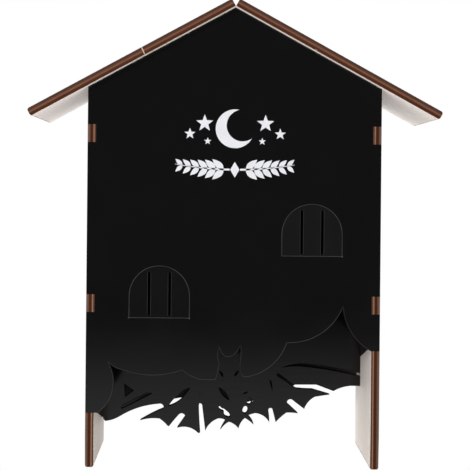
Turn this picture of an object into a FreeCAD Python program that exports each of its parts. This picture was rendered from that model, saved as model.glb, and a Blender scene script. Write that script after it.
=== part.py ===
import FreeCAD, Part
import os

import Sketcher
from FreeCAD import Rotation, Vector

# A bat box cut from plywood sheet, as a kit of slotted panels.
# Frame: millimetres, +Z up, the front faces -Y, origin at the middle of the footprint.

# Driving dimensions: alias, millimetres or degrees, what it is
SIZES = (
    ("sheet_thickness", 8.0, "plywood of every panel"),
    ("joint_clearance", 0.1, "play on each side of a tab in its slot"),
    ("panel_width", 280.0, "front and back panels, across the side panels"),
    ("shoulder_height", 363.0, "top of the side panels"),
    ("body_depth", 112.0, "front face to back face"),
    ("roof_pitch", 28.7, "slope of the roof, degrees"),
    ("roof_board_length", 218.5, "ridge to eave, along the slope"),
    ("roof_front_overhang", 8.0, "roof past the front face"),
    ("roof_back_overhang", 5.0, "roof past the back face"),
    ("roof_edge_radius", 0.8, "rounding of the eave edges"),
    ("roof_tenon_length", 26.0, "tenons of the panels in the roof, along the slope"),
    ("roof_tenon_from_ridge", 92.0, "ridge to the middle of a roof tenon"),
    ("left_corner_height", 52.2, "lower left corner of the front panel"),
    ("right_corner_height", 113.2, "lower right corner of the front panel"),
    ("back_left_corner_height", 31.7, "lower left corner of the back panel"),
    ("back_right_corner_height", 72.7, "lower right corner of the back panel"),
    ("tab_height", 17.0, "side panel tabs seen in the front and back panels"),
    ("lower_tab_height", 156.7, "middle of the lower tabs above the ground"),
    ("upper_tab_height", 318.7, "middle of the upper tabs above the ground"),
    ("foot_corner_radius", 2.5, "rounded corners of the feet"),
    ("window_width", 58.0, "arched window outlines"),
    ("window_side_height", 21.0, "straight sides under the arch"),
    ("window_line_width", 0.5, "scored window line"),
    ("window_line_depth", 0.3, "scored window line"),
    ("left_window_offset", -70.4, "middle of the left window from the centre line"),
    ("left_window_base", 143.0, "sill of the left window"),
    ("right_window_offset", 74.6, "middle of the right window from the centre line"),
    ("right_window_base", 203.0, "sill of the right window"),
    ("slit_width", 2.6, "vent slits"),
    ("slit_height", 41.0, "vent slits"),
    ("slit_spacing", 19.6, "middle to middle of the two slits in a window"),
    ("slit_sill", 2.4, "window sill to the foot of a slit"),
    ("baffle_depth", 76.0, "front face to the front of the baffle"),
    ("baffle_top", 298.0, "top edge of the baffle"),
    ("baffle_tab_height", 24.0, "baffle tabs in the side panels"),
    ("baffle_lower_tab", 120.0, "middle of the lower baffle tabs"),
    ("baffle_upper_tab", 254.0, "middle of the upper baffle tabs"),
    ("groove_pitch", 12.0, "climbing grooves of the roost"),
    ("groove_width", 1.6, "climbing grooves of the roost"),
    ("groove_depth", 0.8, "climbing grooves of the roost"),
    ("groove_length", 236.0, "climbing grooves of the roost"),
    ("first_groove_height", 94.0, "lowest climbing groove"),
    ("groove_count", 18.0, "number of climbing grooves"),
    ("hanger_spacing", 150.0, "middle to middle of the two hanger plates"),
    ("hanger_height", 318.0, "middle of the hanger plates"),
    ("hanger_length", 44.0, "hanger plate, up and down"),
    ("hanger_width", 16.0, "hanger plate"),
    ("hanger_thickness", 1.2, "hanger plate"),
    ("keyhole_diameter", 9.0, "round entry for a screw head"),
    ("keyhole_slot_width", 4.5, "narrow part of the keyhole"),
    ("keyhole_drop", 9.0, "slot end to the entry's middle"),
    ("head_recess_width", 12.0, "room in the back panel for the screw head"),
    ("head_recess_depth", 4.5, "room in the back panel for the screw head"),
    ("screw_spacing", 34.0, "screws of one hanger plate"),
    ("screw_diameter", 2.6, "shank"),
    ("screw_length", 6.5, "under the head"),
    ("screw_head_diameter", 5.6, "head"),
    ("screw_head_height", 1.8, "head"),
    ("screw_play", 0.1, "screw shank in its holes, on the radius"),
)

# The bat outlines are drawn for this panel width and this lower left corner.
# They stretch with the panel's width and rise with that corner.
DRAWN_WIDTH = 280.0
DRAWN_CORNER = 50.5

# Each outline vertex is (x, height, rise of the arc to the next vertex).
# A rise of zero is a straight line; a positive one bows to the left of the way travelled.

# Upper silhouette, cut into the front panel from below, left to right
FRONT_SILHOUETTE = (
    (-128.7, 50.5, -0.5),
    (-121.0, 57.0, -6.5),
    (-118.4, 98.8, -1.2),
    (-105.0, 91.6, -5.0),
    (-47.8, 91.7, -1.2),
    (-30.0, 82.8, 0.0),
    (-16.4, 82.9, -0.6),
    (-13.6, 93.5, 0.0),
    (-12.4, 99.0, 0.4),
    (-14.2, 108.2, 0.0),
    (-13.0, 114.0, -1.0),
    (-6.4, 104.5, 0.3),
    (-1.0, 105.3, -1.2),
    (7.0, 115.6, 0.3),
    (7.8, 110.0, 0.0),
    (6.7, 96.5, -0.6),
    (9.4, 86.6, -0.4),
    (15.0, 86.1, -6.7),
    (51.7, 118.8, -10.2),
    (104.8, 153.4, -6.4),
    (131.5, 111.5, 0.0),
)

# Lower silhouette, the free edge of the baffle, left to right
BAFFLE_SILHOUETTE = (
    (-132.0, 31.5, 0.0),
    (-129.9, 31.2, 0.0),
    (-129.6, 29.4, 0.0),
    (-127.7, 27.0, 0.0),
    (-124.1, 27.5, -0.6),
    (-112.1, 32.4, 2.5),
    (-72.7, 45.1, 2.0),
    (-68.4, 40.2, -0.6),
    (-92.0, 28.0, 1.1),
    (-72.1, 30.0, 0.3),
    (-64.0, 22.9, -0.6),
    (-61.9, 23.0, 0.2),
    (-52.4, 34.4, 2.0),
    (-46.0, 32.5, 0.0),
    (-54.1, 20.7, 3.2),
    (-32.9, 15.8, -0.4),
    (-30.7, 16.3, 0.2),
    (-32.3, 43.9, 1.9),
    (-28.8, 43.0, 0.0),
    (-25.5, 17.9, 2.1),
    (-12.2, 30.7, 0.6),
    (-4.6, 28.9, -0.3),
    (-10.1, 19.1, 0.8),
    (-1.5, 27.3, 1.1),
    (8.4, 20.5, 1.1),
    (14.8, 31.3, 0.4),
    (23.8, 24.6, -1.0),
    (17.6, 33.9, 0.2),
    (25.2, 36.4, 2.3),
    (39.7, 27.0, -0.3),
    (38.7, 39.5, 2.1),
    (43.0, 39.9, 0.0),
    (46.2, 27.5, 0.3),
    (56.9, 37.2, 0.4),
    (68.8, 36.5, 0.0),
    (57.6, 46.7, 2.0),
    (62.7, 50.5, 0.0),
    (75.2, 41.1, 1.6),
    (85.9, 53.6, 0.1),
    (101.0, 56.0, 0.0),
    (83.1, 61.1, 0.2),
    (66.9, 61.9, 0.0),
    (62.3, 64.4, -0.3),
    (47.2, 74.6, 1.4),
    (49.5, 76.8, 0.2),
    (64.6, 65.8, 0.0),
    (87.4, 66.0, 0.0),
    (104.8, 59.6, 1.0),
    (122.1, 65.1, 0.0),
)

# The long slot along the right wing's arm runs out into the side panel
ARM_SLOT = (
    (52.0, 83.0, 1.6),
    (76.0, 87.5, 1.6),
    (140.0, 75.9, 0.0),
    (140.0, 72.6, -1.4),
    (76.0, 84.1, -1.0),
)

# Openings cut through the baffle: eyes, body marks and membrane slots
BAFFLE_OPENINGS = {
    "LeftEye": ((-11.8, 79.4, -0.8), (-7.8, 72.8, -1.6)),
    "RightEye": ((8.2, 79.6, -1.6), (3.9, 73.6, -0.8)),
    "BreastSlot": ((-12.4, 62.6, -2.0), (-1.2, 49.2, -2.4)),
    "BreastNick": ((12.6, 55.8, -0.7), (17.8, 58.2, -0.9)),
    "BellyMark": ((-12.4, 41.4, -0.6), (-7.5, 38.1, 0.7), (-7.0, 35.0, -0.7), (-2.6, 32.1, -0.6),
                  (-0.3, 32.9, -0.5), (-2.6, 37.4, 0.0), (-6.7, 40.7, 0.6), (-10.6, 43.1, -0.5)),
    "HipMark": ((16.5, 46.2, -0.4), (20.1, 45.2, -0.5), (20.5, 48.9, -0.4), (17.5, 49.8, -0.7)),
    "HipCrescent": ((18.4, 52.6, 0.9), (23.0, 46.4, -1.5)),
    "ThighMark": ((12.4, 37.2, -0.6), (15.7, 35.9, -1.0), (17.1, 42.0, -0.2), (15.8, 43.5, -0.2),
                  (13.9, 43.1, -0.7)),
    "SlotTail": ((-31.9, 43.6, 0.0), (-31.2, 57.0, 0.0), (-29.5, 43.6, 0.0)),
    "RibSlit": ((39.4, 69.6, -0.3), (42.6, 59.6, -0.4), (41.4, 69.4, -0.8)),
    "FingerSlot": ((-63.3, 42.7, -1.4), (-48.6, 51.7, -0.2), (-41.0, 61.6, -1.6), (-52.7, 54.6, -0.8)),
    "MembraneSlot": ((-110.8, 39.4, 0.0), (-79.6, 55.6, 0.0), (-85.0, 56.6, 0.0), (-109.0, 44.6, -1.2)),
    "MembraneNotch": ((-107.6, 51.6, 0.0), (-98.4, 58.6, 0.0), (-108.6, 65.4, 0.0)),
}

# Wavy lower edge of the back panel, left to right between its corners
BACK_WAVE = (
    (-128.0, 30.0, 0.6),
    (-50.0, 46.6, -6.6),
    (21.0, 43.2, -3.0),
    (70.0, 62.4, 1.6),
    (130.0, 71.0, 0.0),
)

# Expressions that more than one piece uses
HALF_WIDTH = "Sizes.panel_width / 2"
INNER_HALF = "(Sizes.panel_width / 2 - Sizes.sheet_thickness)"
FRONT_FACE = "(Sizes.roof_front_overhang - Sizes.roof_back_overhang - Sizes.body_depth) / 2"
APEX = "(Sizes.shoulder_height + Sizes.panel_width / 2 * tan(Sizes.roof_pitch))"
HANGER_FACE = f"{FRONT_FACE} + Sizes.body_depth"
TAB_LEVELS = ("Sizes.lower_tab_height", "Sizes.upper_tab_height")
BAFFLE_TAB_LEVELS = ("Sizes.baffle_lower_tab", "Sizes.baffle_upper_tab")
HANGER_SIDES = {"left": -1, "right": 1}
SCREW_ENDS = {"lower": -1, "upper": 1}

# How far a cutting outline runs past the edge that it opens
OVERRUN = 20.0


def make_sheet(doc):
    """Put the driving dimensions in a spreadsheet."""
    sheet = doc.addObject("Spreadsheet::Sheet", "Sizes")
    for row, (alias, value, note) in enumerate(SIZES, start=1):
        sheet.set(f"A{row}", alias)
        sheet.set(f"B{row}", str(value))
        sheet.setAlias(f"B{row}", alias)
        sheet.set(f"C{row}", note)
    doc.recompute()
    return sheet


def make_body(doc, name):
    """Start one piece of the kit."""
    body = doc.addObject("PartDesign::Body", name)
    body.Label = name
    return body


def place(body, across="0", back="0", up="0"):
    """Bind a piece's position to the sheet."""
    body.setExpression(".Placement.Base.x", across)
    body.setExpression(".Placement.Base.y", back)
    body.setExpression(".Placement.Base.z", up)


def make_sketch(body, role, name, lift="0"):
    """Attach a sketch to one of the body's own planes, lifted along its normal."""
    sketch = body.newObject("Sketcher::SketchObject", name)
    plane = next(item for item in body.Origin.OriginFeatures if item.Role == role)
    sketch.AttachmentSupport = [(plane, "")]
    sketch.MapMode = "FlatFace"
    if lift != "0":
        sketch.setExpression(".AttachmentOffset.Base.z", lift)
    return sketch


def value_of(sketch, expression):
    """Work out an expression as a plain number."""
    value = sketch.evalExpression(expression)
    return float(getattr(value, "Value", value))


def bind_point(sketch, line, expression, kind, axis):
    """Hold the start of a line at a distance from the origin, or on an axis."""
    if expression == "0":
        sketch.addConstraint(Sketcher.Constraint("PointOnObject", line, 1, axis))
        return
    start = value_of(sketch, expression)
    index = sketch.addConstraint(Sketcher.Constraint(kind, -1, 1, line, 1, start))
    sketch.setExpression(f"Constraints[{index}]", expression)


def add_polygon(sketch, corners):
    """Draw a closed polygon whose corners are pairs of expressions."""
    points = [Vector(value_of(sketch, x), value_of(sketch, y), 0) for x, y in corners]
    first = sketch.GeometryCount
    count = len(points)
    for index, point in enumerate(points):
        sketch.addGeometry(Part.LineSegment(point, points[(index + 1) % count]))
    for index, (x, y) in enumerate(corners):
        following = first + (index + 1) % count
        sketch.addConstraint(Sketcher.Constraint("Coincident", first + index, 2, following, 1))
        bind_point(sketch, first + index, x, "DistanceX", -2)
        bind_point(sketch, first + index, y, "DistanceY", -1)


def add_rectangle(sketch, left, bottom, right, top):
    """Draw a rectangle between four expressions."""
    add_polygon(sketch, ((left, bottom), (right, bottom), (right, top), (left, top)))


def add_band(sketch, left, right, middle, height):
    """Draw a rectangle of a given height about a middle line."""
    add_rectangle(sketch, left, f"{middle} - {height} / 2", right, f"{middle} + {height} / 2")


def add_circle(sketch, x, y, diameter):
    """Draw a circle bound to the sheet."""
    centre = Vector(value_of(sketch, x), value_of(sketch, y), 0)
    radius = value_of(sketch, diameter) / 2
    index = sketch.addGeometry(Part.Circle(centre, Vector(0, 0, 1), radius))
    size = sketch.addConstraint(Sketcher.Constraint("Diameter", index, 2 * radius))
    sketch.setExpression(f"Constraints[{size}]", diameter)
    for kind, axis, place_at, start in (("DistanceX", -2, x, centre.x), ("DistanceY", -1, y, centre.y)):
        if place_at == "0":
            sketch.addConstraint(Sketcher.Constraint("PointOnObject", index, 3, axis))
        else:
            held = sketch.addConstraint(Sketcher.Constraint(kind, -1, 1, index, 3, start))
            sketch.setExpression(f"Constraints[{held}]", place_at)


def outline_edge(start, end, rise):
    """Make the line or arc from one outline vertex to the next."""
    if rise == 0:
        return Part.LineSegment(start, end)
    chord = end - start
    left = Vector(-chord.y, chord.x, 0).normalize()
    return Part.Arc(start, (start + end) * 0.5 + left * rise, end)


def add_outline(sketch, vertices):
    """Draw a closed outline of lines and arcs as fixed geometry."""
    points = [Vector(x, y, 0) for x, y, rise in vertices]
    first = sketch.GeometryCount
    count = len(points)
    for index, (x, y, rise) in enumerate(vertices):
        sketch.addGeometry(outline_edge(points[index], points[(index + 1) % count], rise))
        sketch.addConstraint(Sketcher.Constraint("Block", first + index))


def arch(offset, base, width, side_height, inset):
    """Outline a round-topped window, drawn in from its edge by an inset."""
    half = width / 2 - inset
    shoulder = base + side_height
    return (
        (offset - half, base + inset, 0.0),
        (offset + half, base + inset, 0.0),
        (offset + half, shoulder, -half),
        (offset - half, shoulder, 0.0),
    )


def finish_feature(doc, body, feature, added):
    """Recompute a feature and make sure that it added or removed material."""
    before = body.Shape.Volume if not body.Shape.isNull() else 0.0
    body.Tip = feature
    doc.recompute()
    change = body.Shape.Volume - before
    if (change <= 0) == added:
        raise RuntimeError(f"{body.Label}.{feature.Name} changed the volume by {change:.3f}")
    return feature


def pad(doc, body, sketch, name, length, against_normal=False):
    """Raise a sketch into a solid."""
    feature = body.newObject("PartDesign::Pad", name)
    feature.Profile = sketch
    feature.Reversed = against_normal
    feature.setExpression("Length", length)
    return finish_feature(doc, body, feature, True)


def pocket(doc, body, sketch, name, length, along_normal=False):
    """Cut a sketch into the solid."""
    feature = body.newObject("PartDesign::Pocket", name)
    feature.Profile = sketch
    feature.Reversed = along_normal
    feature.setExpression("Length", length)
    return finish_feature(doc, body, feature, False)


def fillet(doc, body, name, radius, wanted):
    """Round the edges that a test picks."""
    base = body.Tip
    edges = base.Shape.Edges
    names = [f"Edge{index}" for index, edge in enumerate(edges, start=1) if wanted(edge)]
    feature = body.newObject("PartDesign::Fillet", name)
    feature.Base = (base, names)
    feature.setExpression("Radius", radius)
    return finish_feature(doc, body, feature, False)


def on_panel(sheet, vertices):
    """Stretch and lift outline vertices to the panel's width and corner."""
    stretch = sheet.panel_width / DRAWN_WIDTH
    lift = sheet.left_corner_height - DRAWN_CORNER
    return [(x * stretch, height + lift, rise) for x, height, rise in vertices]


def cut_below(edge, left, right):
    """Close an edge line below the panel, so that all under it is cut away."""
    floor = -OVERRUN
    start = [(left[0] - OVERRUN, left[1], 0.0)]
    end = [(right[0] + OVERRUN, right[1], 0.0), (right[0] + OVERRUN, floor, 0.0)]
    return start + list(edge) + end + [(left[0] - OVERRUN, floor, 0.0)]


def lower_edge(sheet, vertices, left_height, right_height):
    """Outline what lies below a panel's shaped edge, from corner to corner."""
    edge = on_panel(sheet, vertices)
    edge[0] = (edge[0][0], left_height, edge[0][2])
    edge[-1] = (edge[-1][0], right_height, edge[-1][2])
    half = sheet.panel_width / 2
    return cut_below(edge, (-half, left_height), (half, right_height))


def gable_panel(doc, sheet, name):
    """Make the board that the front and back panels are cut from, front face on the XZ plane."""
    body = make_body(doc, name)
    board = make_sketch(body, "XZ_Plane", f"{name}_outline")
    half = HALF_WIDTH
    shoulder = "Sizes.shoulder_height"
    add_polygon(board, (
        (f"-{half}", "0"), (half, "0"), (half, shoulder), ("0", APEX), (f"-{half}", shoulder)))
    pad(doc, body, board, f"{name}_board", "Sizes.sheet_thickness", against_normal=True)
    tenons = make_sketch(body, "XZ_Plane", f"{name}_tenon_outlines")
    for side in (-1, 1):
        add_polygon(tenons, tenon_corners(side))
    pad(doc, body, tenons, f"{name}_roof_tenons", "Sizes.sheet_thickness", against_normal=True)
    notches = make_sketch(body, "XZ_Plane", f"{name}_notch_outlines")
    gap = "(Sizes.tab_height + 2 * Sizes.joint_clearance)"
    for level in TAB_LEVELS:
        add_band(notches, f"-{half}", f"-{INNER_HALF}", level, gap)
        add_band(notches, INNER_HALF, half, level, gap)
    pocket(doc, body, notches, f"{name}_tab_notches", "Sizes.sheet_thickness")
    return body


def tenon_corners(side):
    """Corners of a roof tenon that stands on the slope, up to the roof's upper face."""
    corners = []
    for along, out in ((-0.5, -0.5), (0.5, -0.5), (0.5, 1.0), (-0.5, 1.0)):
        reach = f"(Sizes.roof_tenon_from_ridge + {along} * Sizes.roof_tenon_length)"
        height = f"({out} * Sizes.sheet_thickness)"
        x = f"{side} * ({reach} * cos(Sizes.roof_pitch) + {height} * sin(Sizes.roof_pitch))"
        z = f"{APEX} - {reach} * sin(Sizes.roof_pitch) + {height} * cos(Sizes.roof_pitch)"
        corners.append((x, z))
    return corners


def front_panel(doc, sheet):
    """Front board: bat silhouette below, two arched windows with vent slits."""
    body = gable_panel(doc, sheet, "front_panel")
    recess = make_sketch(body, "XZ_Plane", "silhouette_outline")
    heights = (sheet.left_corner_height, sheet.right_corner_height)
    add_outline(recess, lower_edge(sheet, FRONT_SILHOUETTE, *heights))
    pocket(doc, body, recess, "bat_silhouette", "Sizes.sheet_thickness")
    lines = make_sketch(body, "XZ_Plane", "window_outlines")
    slits = make_sketch(body, "XZ_Plane", "slit_outlines")
    for side in ("left", "right"):
        offset = sheet.get(f"{side}_window_offset")
        base = sheet.get(f"{side}_window_base")
        for inset in (0.0, sheet.window_line_width):
            add_outline(lines, arch(offset, base, sheet.window_width, sheet.window_side_height, inset))
        foot = f"(Sizes.{side}_window_base + Sizes.slit_sill)"
        for way in (-0.5, 0.5):
            middle = f"(Sizes.{side}_window_offset + {way} * Sizes.slit_spacing)"
            add_rectangle(slits, f"{middle} - Sizes.slit_width / 2", foot,
                          f"{middle} + Sizes.slit_width / 2", f"{foot} + Sizes.slit_height")
    pocket(doc, body, lines, "window_lines", "Sizes.window_line_depth")
    pocket(doc, body, slits, "vent_slits", "Sizes.sheet_thickness")
    place(body, back=FRONT_FACE)
    return body


def back_panel(doc, sheet):
    """Back board: wavy lower edge, climbing grooves inside, room for screw heads outside."""
    body = gable_panel(doc, sheet, "back_panel")
    wave = make_sketch(body, "XZ_Plane", "wave_outline")
    heights = (sheet.back_left_corner_height, sheet.back_right_corner_height)
    add_outline(wave, lower_edge(sheet, BACK_WAVE, *heights))
    pocket(doc, body, wave, "wavy_edge", "Sizes.sheet_thickness")
    groove = make_sketch(body, "XZ_Plane", "groove_outline")
    add_band(groove, "-Sizes.groove_length / 2", "Sizes.groove_length / 2",
             "Sizes.first_groove_height", "Sizes.groove_width")
    first = pocket(doc, body, groove, "first_groove", "Sizes.groove_depth")
    rows = body.newObject("PartDesign::LinearPattern", "climbing_grooves")
    rows.Originals = [first]
    rows.Direction = (groove, ["V_Axis"])
    rows.setExpression("Length", "Sizes.groove_pitch * (Sizes.groove_count - 1)")
    rows.setExpression("Occurrences", "Sizes.groove_count")
    finish_feature(doc, body, rows, False)
    recesses = make_sketch(body, "XZ_Plane", "head_recess_outlines", "-Sizes.sheet_thickness")
    pilots = make_sketch(body, "XZ_Plane", "pilot_outlines", "-Sizes.sheet_thickness")
    for side in HANGER_SIDES.values():
        middle = f"({side} * Sizes.hanger_spacing / 2)"
        add_rectangle(recesses, f"{middle} - Sizes.head_recess_width / 2",
                      "Sizes.hanger_height - Sizes.keyhole_drop / 2 - Sizes.head_recess_width / 2",
                      f"{middle} + Sizes.head_recess_width / 2",
                      "Sizes.hanger_height + Sizes.keyhole_drop / 2 + Sizes.head_recess_width / 2")
        for end in SCREW_ENDS.values():
            add_circle(pilots, middle, f"(Sizes.hanger_height + {end} * Sizes.screw_spacing / 2)",
                       "(Sizes.screw_diameter + 2 * Sizes.screw_play)")
    pocket(doc, body, recesses, "head_recesses", "Sizes.head_recess_depth", along_normal=True)
    pocket(doc, body, pilots, "pilot_holes", "Sizes.screw_length", along_normal=True)
    place(body, back=f"{FRONT_FACE} + Sizes.body_depth - Sizes.sheet_thickness")
    return body


def side_panel(doc, name, side, front_step, back_step):
    """Side board on the YZ plane: wall, two legs, tabs front and back, slots for the baffle."""
    body = make_body(doc, name)
    thickness = "Sizes.sheet_thickness"
    depth = "Sizes.body_depth"
    wall = make_sketch(body, "YZ_Plane", f"{name}_outline")
    inner = f"{depth} - {thickness}"
    add_polygon(wall, (
        ("0", "0"), (depth, "0"), (depth, back_step), (inner, back_step),
        (inner, "Sizes.shoulder_height"), (thickness, "Sizes.shoulder_height"),
        (thickness, front_step), ("0", front_step)))
    pad(doc, body, wall, f"{name}_board", thickness)
    tabs = make_sketch(body, "YZ_Plane", f"{name}_tab_outlines")
    for level in TAB_LEVELS:
        add_band(tabs, "0", depth, level, "Sizes.tab_height")
    pad(doc, body, tabs, f"{name}_tabs", thickness)
    slots = make_sketch(body, "YZ_Plane", f"{name}_slot_outlines")
    for level in BAFFLE_TAB_LEVELS:
        add_band(slots, "Sizes.baffle_depth - Sizes.joint_clearance",
                 "Sizes.baffle_depth + Sizes.sheet_thickness + Sizes.joint_clearance",
                 level, "(Sizes.baffle_tab_height + 2 * Sizes.joint_clearance)")
    pocket(doc, body, slots, f"{name}_baffle_slots", thickness, along_normal=True)
    depth_ends = (0.0, value_of(wall, depth))
    fillet(doc, body, f"{name}_foot_corners", "Sizes.foot_corner_radius",
           lambda edge: is_foot_corner(edge, depth_ends))
    across = f"{HALF_WIDTH} - {thickness}" if side > 0 else f"-{HALF_WIDTH}"
    place(body, across=across, back=FRONT_FACE)
    return body


def is_foot_corner(edge, depth_ends):
    """Tell whether an edge runs across the board at a corner of its foot."""
    box = edge.BoundBox
    across = box.XLength > 1 and box.YLength < 0.01 and box.ZLength < 0.01
    return across and box.ZMax < 0.01 and any(abs(box.YMin - end) < 0.01 for end in depth_ends)


def baffle(doc, sheet):
    """Inner board whose free lower edge is the bat's lower silhouette."""
    body = make_body(doc, "bat_baffle")
    board = make_sketch(body, "XZ_Plane", "baffle_outline")
    add_rectangle(board, f"-{INNER_HALF}", "0", INNER_HALF, "Sizes.baffle_top")
    pad(doc, body, board, "baffle_board", "Sizes.sheet_thickness", against_normal=True)
    tabs = make_sketch(body, "XZ_Plane", "baffle_tab_outlines")
    for level in BAFFLE_TAB_LEVELS:
        add_band(tabs, f"-{HALF_WIDTH}", HALF_WIDTH, level, "Sizes.baffle_tab_height")
    pad(doc, body, tabs, "baffle_tabs", "Sizes.sheet_thickness", against_normal=True)
    edge = on_panel(sheet, BAFFLE_SILHOUETTE)
    half = sheet.panel_width / 2 - sheet.sheet_thickness
    lower = make_sketch(body, "XZ_Plane", "lower_silhouette_outline")
    add_outline(lower, cut_below(edge, (-half, edge[0][1]), (half, edge[-1][1])))
    pocket(doc, body, lower, "lower_silhouette", "Sizes.sheet_thickness")
    for name, vertices in (("ArmSlot", ARM_SLOT), *BAFFLE_OPENINGS.items()):
        opening = make_sketch(body, "XZ_Plane", f"{name}Outline")
        add_outline(opening, on_panel(sheet, vertices))
        pocket(doc, body, opening, name, "Sizes.sheet_thickness")
    place(body, back=f"{FRONT_FACE} + Sizes.baffle_depth")
    return body


def roof_board(doc, name, side):
    """Roof board with its ridge edge on the YZ plane, turned down to the slope."""
    body = make_body(doc, name)
    span = "Sizes.body_depth + Sizes.roof_front_overhang + Sizes.roof_back_overhang"
    board = make_sketch(body, "XY_Plane", f"{name}_outline")
    add_rectangle(board, "0", f"-({span}) / 2", f"{side} * Sizes.roof_board_length", f"({span}) / 2")
    pad(doc, body, board, f"{name}_board", "Sizes.sheet_thickness")
    mortises = make_sketch(body, "XY_Plane", f"{name}_mortise_outlines")
    play = "Sizes.joint_clearance"
    near = f"{side} * (Sizes.roof_tenon_from_ridge - Sizes.roof_tenon_length / 2 - {play})"
    far = f"{side} * (Sizes.roof_tenon_from_ridge + Sizes.roof_tenon_length / 2 + {play})"
    back_face = f"{FRONT_FACE} + Sizes.body_depth"
    for front in (FRONT_FACE, f"{back_face} - Sizes.sheet_thickness"):
        add_rectangle(mortises, near, f"{front} - {play}", far, f"{front} + Sizes.sheet_thickness + {play}")
    pocket(doc, body, mortises, f"{name}_mortises", "Sizes.sheet_thickness", along_normal=True)
    eave = value_of(board, f"{side} * Sizes.roof_board_length")
    fillet(doc, body, f"{name}_eave_edges", "Sizes.roof_edge_radius",
           lambda edge: abs(edge.BoundBox.Center.x - eave) < 0.01 and edge.BoundBox.YLength > 1)
    body.Placement.Rotation = Rotation(Vector(0, 1, 0), 0)
    body.setExpression(".Placement.Rotation.Angle", f"{side} * Sizes.roof_pitch")
    place(body, up=APEX)
    return body


def hanger_plate(doc, name, side):
    """Steel plate with a keyhole, lying on the back panel's outer face."""
    body = make_body(doc, name)
    plate = make_sketch(body, "XZ_Plane", f"{name}_outline")
    half_width = "Sizes.hanger_width / 2"
    add_rectangle(plate, f"-{half_width}", "-Sizes.hanger_length / 2", half_width, "Sizes.hanger_length / 2")
    pad(doc, body, plate, f"{name}_plate", "Sizes.hanger_thickness", against_normal=True)
    entry = make_sketch(body, "XZ_Plane", f"{name}_entry_outline")
    add_circle(entry, "0", "-Sizes.keyhole_drop / 2", "Sizes.keyhole_diameter")
    pocket(doc, body, entry, f"{name}_entry", "Sizes.hanger_thickness")
    slot = make_sketch(body, "XZ_Plane", f"{name}_slot_outline")
    slot_half = "Sizes.keyhole_slot_width / 2"
    add_rectangle(slot, f"-{slot_half}", "-Sizes.keyhole_drop / 2", slot_half, "Sizes.keyhole_drop / 2")
    pocket(doc, body, slot, f"{name}_slot", "Sizes.hanger_thickness")
    slot_end = make_sketch(body, "XZ_Plane", f"{name}_slot_end_outline")
    add_circle(slot_end, "0", "Sizes.keyhole_drop / 2", "Sizes.keyhole_slot_width")
    pocket(doc, body, slot_end, f"{name}_slot_end", "Sizes.hanger_thickness")
    holes = make_sketch(body, "XZ_Plane", f"{name}_hole_outlines")
    for end in SCREW_ENDS.values():
        add_circle(holes, "0", f"({end} * Sizes.screw_spacing / 2)",
                   "(Sizes.screw_diameter + 2 * Sizes.screw_play)")
    pocket(doc, body, holes, f"{name}_screw_holes", "Sizes.hanger_thickness")
    fillet(doc, body, f"{name}_corners", "Sizes.hanger_width / 4",
           lambda edge: edge.BoundBox.YLength > 1 and abs(edge.BoundBox.Center.x) > 5)
    place(body, across=f"({side} * Sizes.hanger_spacing / 2)", back=HANGER_FACE, up="Sizes.hanger_height")
    return body


def hanger_screw(doc, sheet, name, side, end):
    """Round-head wood screw that holds a hanger plate, shank towards -Y."""
    body = make_body(doc, name)
    radius = sheet.screw_diameter / 2
    length = sheet.screw_length
    head = sheet.screw_head_diameter / 2
    crown = sheet.screw_head_height
    shoulder = crown / 3
    tip = length - sheet.hanger_thickness
    profile = make_sketch(body, "XY_Plane", f"{name}_profile")
    add_outline(profile, (
        (0.0, -tip, 0.0),
        (radius, -tip + radius, 0.0),
        (radius, 0.0, 0.0),
        (head, 0.0, 0.0),
        (head, shoulder, (crown - shoulder) / 3),
        (0.0, crown, 0.0),
    ))
    turned = body.newObject("PartDesign::Revolution", f"{name}_turned")
    turned.Profile = profile
    turned.ReferenceAxis = (profile, ["V_Axis"])
    turned.Angle = 360
    finish_feature(doc, body, turned, True)
    slot = make_sketch(body, "XY_Plane", f"{name}_drive_outline")
    half_slot = crown / 6
    add_outline(slot, (
        (-head, crown / 2, 0.0), (head, crown / 2, 0.0),
        (head, crown + half_slot, 0.0), (-head, crown + half_slot, 0.0),
    ))
    drive = body.newObject("PartDesign::Pocket", f"{name}_drive_slot")
    drive.Profile = slot
    drive.SideType = "Symmetric"
    drive.setExpression("Length", "Sizes.screw_head_height / 3")
    finish_feature(doc, body, drive, False)
    place(body, across=f"({side} * Sizes.hanger_spacing / 2)",
          back=f"{HANGER_FACE} + Sizes.hanger_thickness",
          up=f"Sizes.hanger_height + ({end} * Sizes.screw_spacing / 2)")
    return body


def build_pieces(doc, sheet):
    """Make every piece of the kit in its place."""
    pieces = [front_panel(doc, sheet), back_panel(doc, sheet)]
    steps = {"left": -1, "right": 1}
    for word, side in steps.items():
        front_step = f"Sizes.{word}_corner_height"
        back_step = f"Sizes.back_{word}_corner_height"
        pieces.append(side_panel(doc, f"{word}_side_panel", side, front_step, back_step))
        pieces.append(roof_board(doc, f"{word}_roof_board", side))
    pieces.append(baffle(doc, sheet))
    for word, side in HANGER_SIDES.items():
        pieces.append(hanger_plate(doc, f"{word}_hanger_plate", side))
        for level, end in SCREW_ENDS.items():
            pieces.append(hanger_screw(doc, sheet, f"{word}_{level}_hanger_screw", side, end))
    return pieces


def check_pieces(doc, pieces):
    """Stop when any object failed or any piece isn't one valid solid."""
    for item in doc.Objects:
        if {"Invalid", "Error"} & set(item.State):
            raise RuntimeError(f"{item.Label} failed: {item.State}")
    for piece in pieces:
        shape = piece.Shape
        if shape.isNull() or not shape.isValid() or len(shape.Solids) != 1:
            raise RuntimeError(f"{piece.Label} has {len(shape.Solids)} solids")
        box = shape.BoundBox
        spans = [f"{low:.1f}..{high:.1f}" for low, high in (
            (box.XMin, box.XMax), (box.YMin, box.YMax), (box.ZMin, box.ZMax))]
        print(f"{piece.Label}: {', '.join(spans)} mm, {shape.Volume / 1000:.1f} cm3")


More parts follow.
